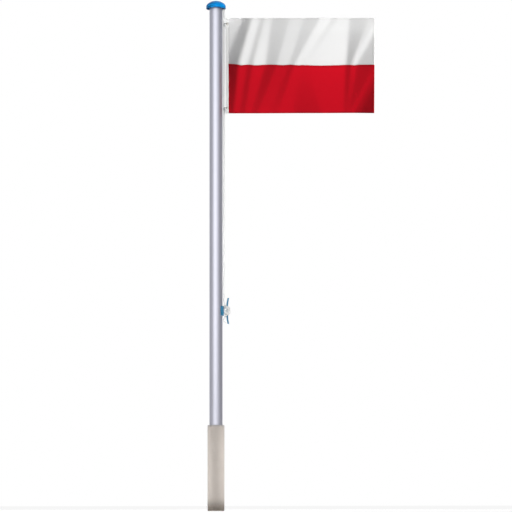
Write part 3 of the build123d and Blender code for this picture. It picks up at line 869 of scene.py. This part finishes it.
def neck_turn(start, end, first, last, bulge=0.0):
    """Rope that winds round the cleat's neck: half-width * sine across, half-height * cosine along.

    Its distance from the mast goes evenly from first to last over the angle, and with a bulge the
    turns also swing out over the bar's sides, more with each turn, as the square of the sine, and
    grow a little wider and longer.
    """
    turn = np.radians(np.arange(start, end + 1, turn_step))
    share = np.clip((turn - turn[0]) / (turn[-1] - turn[0]), 0, 1)
    side = np.sin(turn) ** 2 * np.minimum(share * bulge / full_bulge, 1.0)
    return np.stack([
        first + (last - first) * share + bulge * share * np.sin(turn) ** 2,
        -(neck_half_width + neck_widening * side) * np.sin(turn),
        cleat_level + (neck_half_height + neck_lengthening * share * (bulge > 0)) * np.cos(turn),
    ], -1)


def figure_eights(end, side):
    """Rope in figure-eights over the cleat's bar, up to an angle in degrees; side is 1 or -1.

    At the angle t it stands at half-width * sin 2t across the bar and reach * sin t along it, and its
    distance from the mast swings with tanh(steepness * cos 2t) from behind the bar to in front of it.
    The second round climbs onto the first by a smooth step, and each crossing lifts the upper rope.
    The eights of side 1 are shifted up and those of side -1 down, so that the two lie side by side.
    """
    degrees = np.arange(eight_start, end + 1, turn_step)
    t = np.radians(degrees)
    layer = np.clip((degrees - second_start) / second_climb, 0, 1)
    layer = layer**2 * (3 - 2 * layer)
    swing = np.tanh(steepness * np.cos(2 * t)) / np.tanh(steepness)
    front = ((1 + np.cos(2 * t)) / 2) ** 2
    reach = np.where(swing > 0, bar_front + second_front * layer, bar_back + second_back * layer)
    lift = crossing_lift * front * (1 - np.cos(t)) / 2
    across = (bar_side + second_side * layer) * np.sin(2 * t) - side * crossing_gap * np.cos(t) * front
    level = cleat_level + (eight_reach + second_reach * layer) * np.sin(t) + side * eight_shift
    return np.stack([bar_middle + reach * swing + lift, -across, level], -1)


def halyard_route():
    """Control points of the whole rope, from the end tucked in the turns over the pin to the tail.

    The points over the pin stand outside the rope's half circle, at radius / cos(step / 2), so that the
    spline touches the circle between them.
    """
    return_top = pin_centre - pin_turn * pin_across
    returning = [
        (0.0640, 0.0080, 1.5600), (0.0625, 0.0078, 1.5800), return_knee,
        return_knee + (return_top - return_knee) * knee_share,
    ]
    carrying = [carry_knee, (0.0630, -0.0080, 1.5800), (0.0633, -0.0092, 1.5520)]
    tail = [
        (0.070, -0.0175, 1.4790), (0.066, -0.0155, 1.4690), (0.061, -0.0135, 1.4580),
        (0.057, -0.0120, 1.4445), (0.065, -0.0120, 1.4305), (0.083, -0.0120, 1.4225),
    ]
    step = pi / 4
    turn = pi - step * (np.arange(4)[:, None] + 0.5)
    over = pin_centre + pin_turn / cos(step / 2) * (np.cos(turn) * pin_across + np.sin(turn) * (0, 0, 1))
    below = np.array([return_top, carry_top]) - (0, 0, pin_straight)
    above_knee = carry_place(carry_knee[2] + pin_straight)
    parts = [
        figure_eights(960.0, 1)[::-1], neck_turn(-15.0, 120.0, 0.066, 0.0755)[::-1], returning,
        below[:1], over, below[1:], [above_knee], carrying,
        neck_turn(60.0, 480.0, 0.0633, 0.0706), neck_turn(495.0, 1560.0, 0.0709, 0.0750, 0.0195),
        figure_eights(945.0, -1), tail,
    ]
    return np.concatenate([np.array(part) for part in parts])


def halyard_rope(finish):
    """The whole rope as one tube."""
    line = route_points("halyard_line", halyard_route(), line_steps)
    shape = tube(line, rope_radius, rope_sides, (1.0, 0.0, 0.0))
    put_mesh("halyard_rope", shape, finish, "mast", ["halyard", "halyard_wraps", "halyard_tail"])


rope_finish = braided_rope("halyard_braid", (0.96, 0.96, 0.95), (0.88, 0.88, 0.87), 6, 0.012)
cord_finish = braided_rope("knot_braid", (0.97, 0.97, 0.96), (0.93, 0.93, 0.92), 4, 0.007)
hook_finish = moulded_plastic("hook_nylon", (0.09, 0.09, 0.1), (0.05, 0.05, 0.055), 0.4)
grommet_finish = turned_metal("plated_brass", (0.6, 0.57, 0.5), (0.38, 0.34, 0.27), 0.25)
halyard_rope(rope_finish)
heading_band()
for which in grommets:
    grommet(which, grommet_finish)
    snap_hook(which, hook_finish)
    hook_knot(which, cord_finish)


# Finishes of the pieces that keep their CAD shape

finishes = {
    satin_aluminium(): ["mast_lower_section", "mast_middle_section", "mast_upper_section"],
    blue_cap_plastic(): ["cap_dome"],
    pipe_plastic("sleeve_pipe", (0.66, 0.60, 0.55), (0.58, 0.52, 0.47)): ["ground_sleeve", "sleeve_end_cap"],
    pipe_plastic("collar_plastic", (0.54, 0.51, 0.50), (0.47, 0.44, 0.42)): ["sleeve_collar"],
    moulded_plastic("plug_black", (0.05, 0.05, 0.055), (0.025, 0.025, 0.03), 0.45): ["cap_plug"],
    moulded_plastic("cleat_nylon", (0.012, 0.2, 0.36), (0.008, 0.15, 0.29), 0.3, 0.15): [
        "cleat_saddle", "cleat_horns",
    ],
    turned_metal("bright_steel", (0.66, 0.66, 0.67), (0.42, 0.41, 0.4), 0.2): [
        "halyard_pin", "cleat_screw_upper", "cleat_screw_lower",
    ],
}
for material, names in finishes.items():
    for name in names:
        nodes[name].data.materials.clear()
        nodes[name].data.materials.append(material)


# Camera, floor, lamps and world

image_side = 512
sensor_width = 36.0
focal_pixels = 2587.9
camera_distance = 19.66
camera_height = 0.05
camera_side = 0.3054
camera_tilt = radians(5.48)
camera_roll = radians(-0.085)
world_light = 0.15
floor_glow = 0.8
floor_reach = 60.0
card_distance = 3.0
card_height = 6.0
card_steps = 24


def put_camera():
    """The photo's camera: its lens follows from the focal length in pixels."""
    camera = bpy.data.cameras.new("photo_camera")
    camera.sensor_width = sensor_width
    camera.lens = focal_pixels / image_side * sensor_width
    camera.clip_end = 200.0
    holder = bpy.data.objects.new("photo_camera", camera)
    bpy.context.scene.collection.objects.link(holder)
    turn = Matrix.Rotation(pi / 2 + camera_tilt, 4, "X") @ Matrix.Rotation(camera_roll, 4, "Z")
    holder.matrix_world = Matrix.Translation((camera_side, -camera_distance, camera_height)) @ turn
    bpy.context.scene.camera = holder


def seen_ray(tree):
    """1 on rays that reach the set straight from the camera, or by a reflection or through glass."""
    path = tree.nodes.new("ShaderNodeLightPath")
    total = path.outputs["Is Camera Ray"]
    for name in ("Is Glossy Ray", "Is Transmission Ray"):
        joined = tree.nodes.new("ShaderNodeMath")
        joined.operation = "MAXIMUM"
        tree.links.new(total, joined.inputs[0])
        tree.links.new(path.outputs[name], joined.inputs[1])
        total = joined.outputs[0]
    return total


def put_world():
    """White where the world is seen, and a dim light elsewhere."""
    world = bpy.data.worlds.new("studio")
    bpy.context.scene.world = world
    world.use_nodes = True
    tree = world.node_tree
    background = tree.nodes["Background"]
    background.inputs["Color"].default_value = (1.0, 1.0, 1.0, 1.0)
    level = tree.nodes.new("ShaderNodeMapRange")
    level.inputs["To Min"].default_value = world_light
    level.inputs["To Max"].default_value = 1.0
    tree.links.new(seen_ray(tree), level.inputs["Value"])
    tree.links.new(level.outputs[0], background.inputs["Strength"])


def put_floor():
    """A matt floor that glows where it is seen, so that it looks as white as the world."""
    finish = Finish("studio_floor", Roughness=0.9, Specular_IOR_Level=0.0)
    grain = finish.noise(finish.place(), 3.0, 2.0)
    finish.feed(Base_Color=finish.blend(grain, (0.80, 0.80, 0.80), (0.82, 0.82, 0.82)))
    finish.shader.inputs["Emission Color"].default_value = (1.0, 1.0, 1.0, 1.0)
    glow = finish.tree.nodes.new("ShaderNodeMath")
    glow.operation = "MULTIPLY"
    glow.inputs[1].default_value = floor_glow
    finish.tree.links.new(seen_ray(finish.tree), glow.inputs[0])
    finish.tree.links.new(glow.outputs[0], finish.shader.inputs["Emission Strength"])
    mesh = bpy.data.meshes.new("studio_floor")
    corners = floor_reach * np.array([(-1, -1, 0), (1, -1, 0), (1, 1, 0), (-1, 1, 0)])
    mesh.from_pydata(corners.tolist(), [], [(0, 1, 2, 3)])
    mesh.materials.append(finish.material)
    floor = bpy.data.objects.new("studio_floor", mesh)
    bpy.context.scene.collection.objects.link(floor)


def put_lamp(
    name, place, target, width, height, power, glossy=True, diffuse=True, spread=180.0, tint=(1.0, 1.0, 1.0)
):
    """A softbox at place that faces target.

    Power is in watts over the whole box and spread is its beam in degrees. Glossy and diffuse say
    whether reflections show it and whether it lights matt surfaces.
    """
    lamp = bpy.data.lights.new(name, "AREA")
    lamp.shape = "RECTANGLE"
    lamp.size, lamp.size_y = width, height
    lamp.energy = power
    lamp.spread = radians(spread)
    lamp.color = tint
    holder = bpy.data.objects.new(name, lamp)
    bpy.context.scene.collection.objects.link(holder)
    holder.location = place
    holder.rotation_euler = (Vector(target) - Vector(place)).to_track_quat("-Z", "Y").to_euler()
    holder.visible_camera = False
    holder.visible_glossy = glossy
    holder.visible_diffuse = diffuse


def put_card(name, start, end, tone):
    """A grey card, part of an upright cylinder round the mast, that only reflections see."""
    angle = np.radians(np.linspace(start, end, card_steps))
    line = card_distance * np.stack([np.sin(angle), -np.cos(angle)], -1)
    points = np.concatenate([np.insert(line, 2, level, axis=1) for level in (0.0, card_height)])
    mesh = bpy.data.meshes.new(name)
    mesh.from_pydata(points.tolist(), [], grid_faces(2, card_steps).tolist())
    finish = Finish(name, Roughness=1.0)
    finish.shader.inputs["Base Color"].default_value = (0.0, 0.0, 0.0, 1.0)
    finish.shader.inputs["Emission Color"].default_value = (tone, tone, tone, 1.0)
    finish.shader.inputs["Emission Strength"].default_value = 1.0
    mesh.materials.append(finish.material)
    card = bpy.data.objects.new(name, mesh)
    bpy.context.scene.collection.objects.link(card)
    card.visible_camera = False
    card.visible_diffuse = False
    card.visible_shadow = False


put_camera()
put_world()
put_floor()
put_lamp(
    "front_softbox", (-0.6, -3.2, 2.7), (0.0, 0.0, 2.7), 3.2, 4.2, 42.0, diffuse=False, tint=(1.0, 0.99, 0.95)
)
put_lamp("key_softbox", (9.5, -6.0, 5.6), (0.62, 0.0, 3.41), 1.6, 1.6, 40.0, glossy=False, spread=30.0)
put_lamp("fill_softbox", (-0.6, -5.0, 3.0), (0.4, 0.0, 3.2), 3.0, 3.0, 12.0, glossy=False)
put_lamp(
    "cap_softbox", (-0.55, -1.5, 3.8), (-0.005, -0.02, 3.89), 0.25, 0.25, 0.19, glossy=False, spread=16.0
)
put_lamp("rope_strip", (0.1, -1.5, 1.85), (0.07, 0.0, 1.85), 0.3, 1.5, 2.8, glossy=False, spread=60.0)
put_lamp("sleeve_softbox", (0.0, -1.6, 0.36), (0.0, 0.0, 0.33), 0.6, 0.2, 1.32, glossy=False, spread=80.0)
put_lamp("left_strip", (-0.89, -0.14, 0.36), (0.0, 0.0, 0.33), 0.3, 0.4, 1.8, glossy=False, spread=110.0)
put_lamp("right_strip", (0.89, -0.14, 0.36), (0.0, 0.0, 0.33), 0.3, 0.4, 1.7, glossy=False, spread=110.0)
put_lamp("rear_softbox", (0.4, 6.0, 3.0), (0.4, 0.0, 2.6), 3.0, 3.0, 55.0, glossy=False, spread=120.0)
put_card("left_card", -140.0, -54.0, 0.54)
put_card("right_card", 48.0, 140.0, 0.4)

bpy.context.scene.view_settings.view_transform = "Standard"
